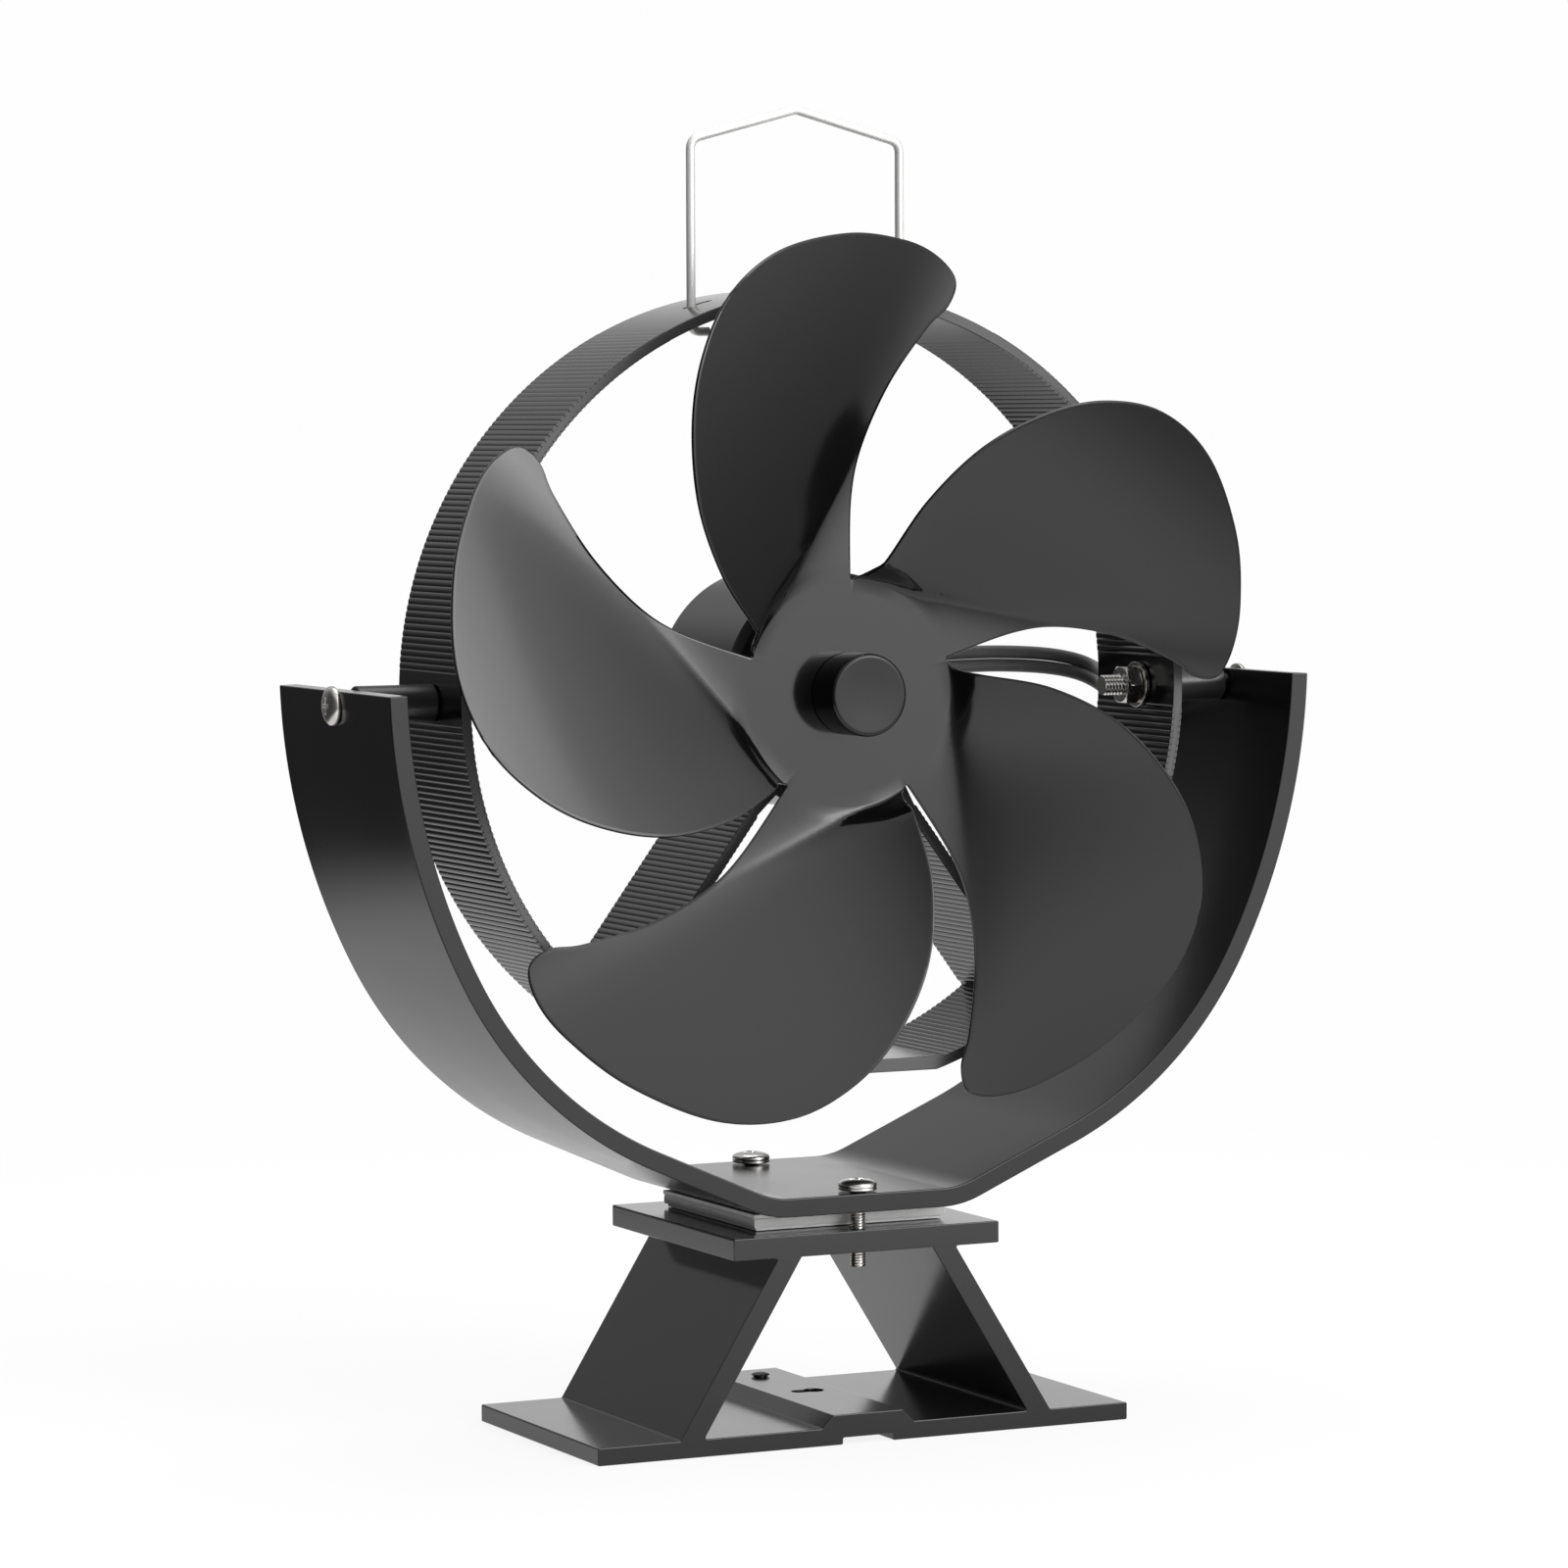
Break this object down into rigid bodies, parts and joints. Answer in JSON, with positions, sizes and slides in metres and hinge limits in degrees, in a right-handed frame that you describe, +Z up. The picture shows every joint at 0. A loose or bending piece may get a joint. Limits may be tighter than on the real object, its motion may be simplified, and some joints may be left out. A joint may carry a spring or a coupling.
{
  "type": "stove fan",
  "caption": "Heat-powered stove fan: splayed foot, thermoelectric module, bent yoke, tilting ribbed ring with struts and motor, pressed propeller and wire handle.",
  "frame": {"origin": "on the ground under the middle of the bounding box", "axes": "+X to the right as seen from in front of the propeller, along the tilt axis; +Y from the propeller to the motor's rear; +Z up"},
  "size_m": [0.1946, 0.0668, 0.2482],
  "materials": {
    "foot_black": "satin black coating",
    "yoke_black": "smooth half-gloss black coating",
    "ring_black": "satin black coating on ribbed extrusion",
    "propeller_black": "satin black coating on pressed sheet",
    "spacer_black": "black coating",
    "fastener_steel": "nickel plated",
    "wire_steel": "bright drawn wire",
    "motor_metal": "bare metal",
    "module_ceramic": "matt light grey",
    "module_sealant": "light grey sealant",
    "black_plastic": "satin black plastic",
    "lead_jacket": "dark heat-proof jacket",
    "bimetal": "rolled bimetal strip"
  },
  "bodies": {
    "stand": {"foot_extrusion": "foot_black", "bimetal_strip": "bimetal", "strip_rivet": "fastener_steel", "module_hot_plate": "module_ceramic", "module_core": "module_sealant", "module_cold_plate": "module_ceramic", "yoke": "yoke_black", "clamp_screw_front": "fastener_steel", "clamp_screw_rear": "fastener_steel", "clamp_washer_front": "fastener_steel", "clamp_washer_rear": "fastener_steel", "lead_wire_lower": "lead_jacket", "lead_wire_upper": "lead_jacket"},
    "ring": {"pivot_screw_left": "fastener_steel", "pivot_screw_right": "fastener_steel", "pivot_spacer_left": "spacer_black", "pivot_spacer_right": "spacer_black", "pivot_washer_left": "fastener_steel", "pivot_washer_right": "fastener_steel", "pivot_nut_left": "fastener_steel", "pivot_nut_right": "fastener_steel", "ring_frame": "ring_black", "motor_can": "motor_metal", "motor_rear_cap": "black_plastic", "motor_terminal_lower": "fastener_steel", "motor_terminal_upper": "fastener_steel", "motor_grub_screw": "fastener_steel", "handle": "wire_steel"},
    "rotor": {"motor_shaft": "fastener_steel", "nose_cap": "black_plastic", "propeller": "propeller_black"}
  },
  "joints": [
    {"name": "ring_tilt", "type": "hinge", "parent": "stand", "child": "ring", "pos_m": [0, 0.00137, 0.1381], "axis": [1, 0, 0], "range_deg": [-45, 45], "deforming": ["lead_wire_lower", "lead_wire_upper"]},
    {"name": "propeller_spin", "type": "hinge", "parent": "ring", "child": "rotor", "pos_m": [0, 0.00137, 0.1389], "axis": [0, 1, 0], "continuous": true}
  ]
}
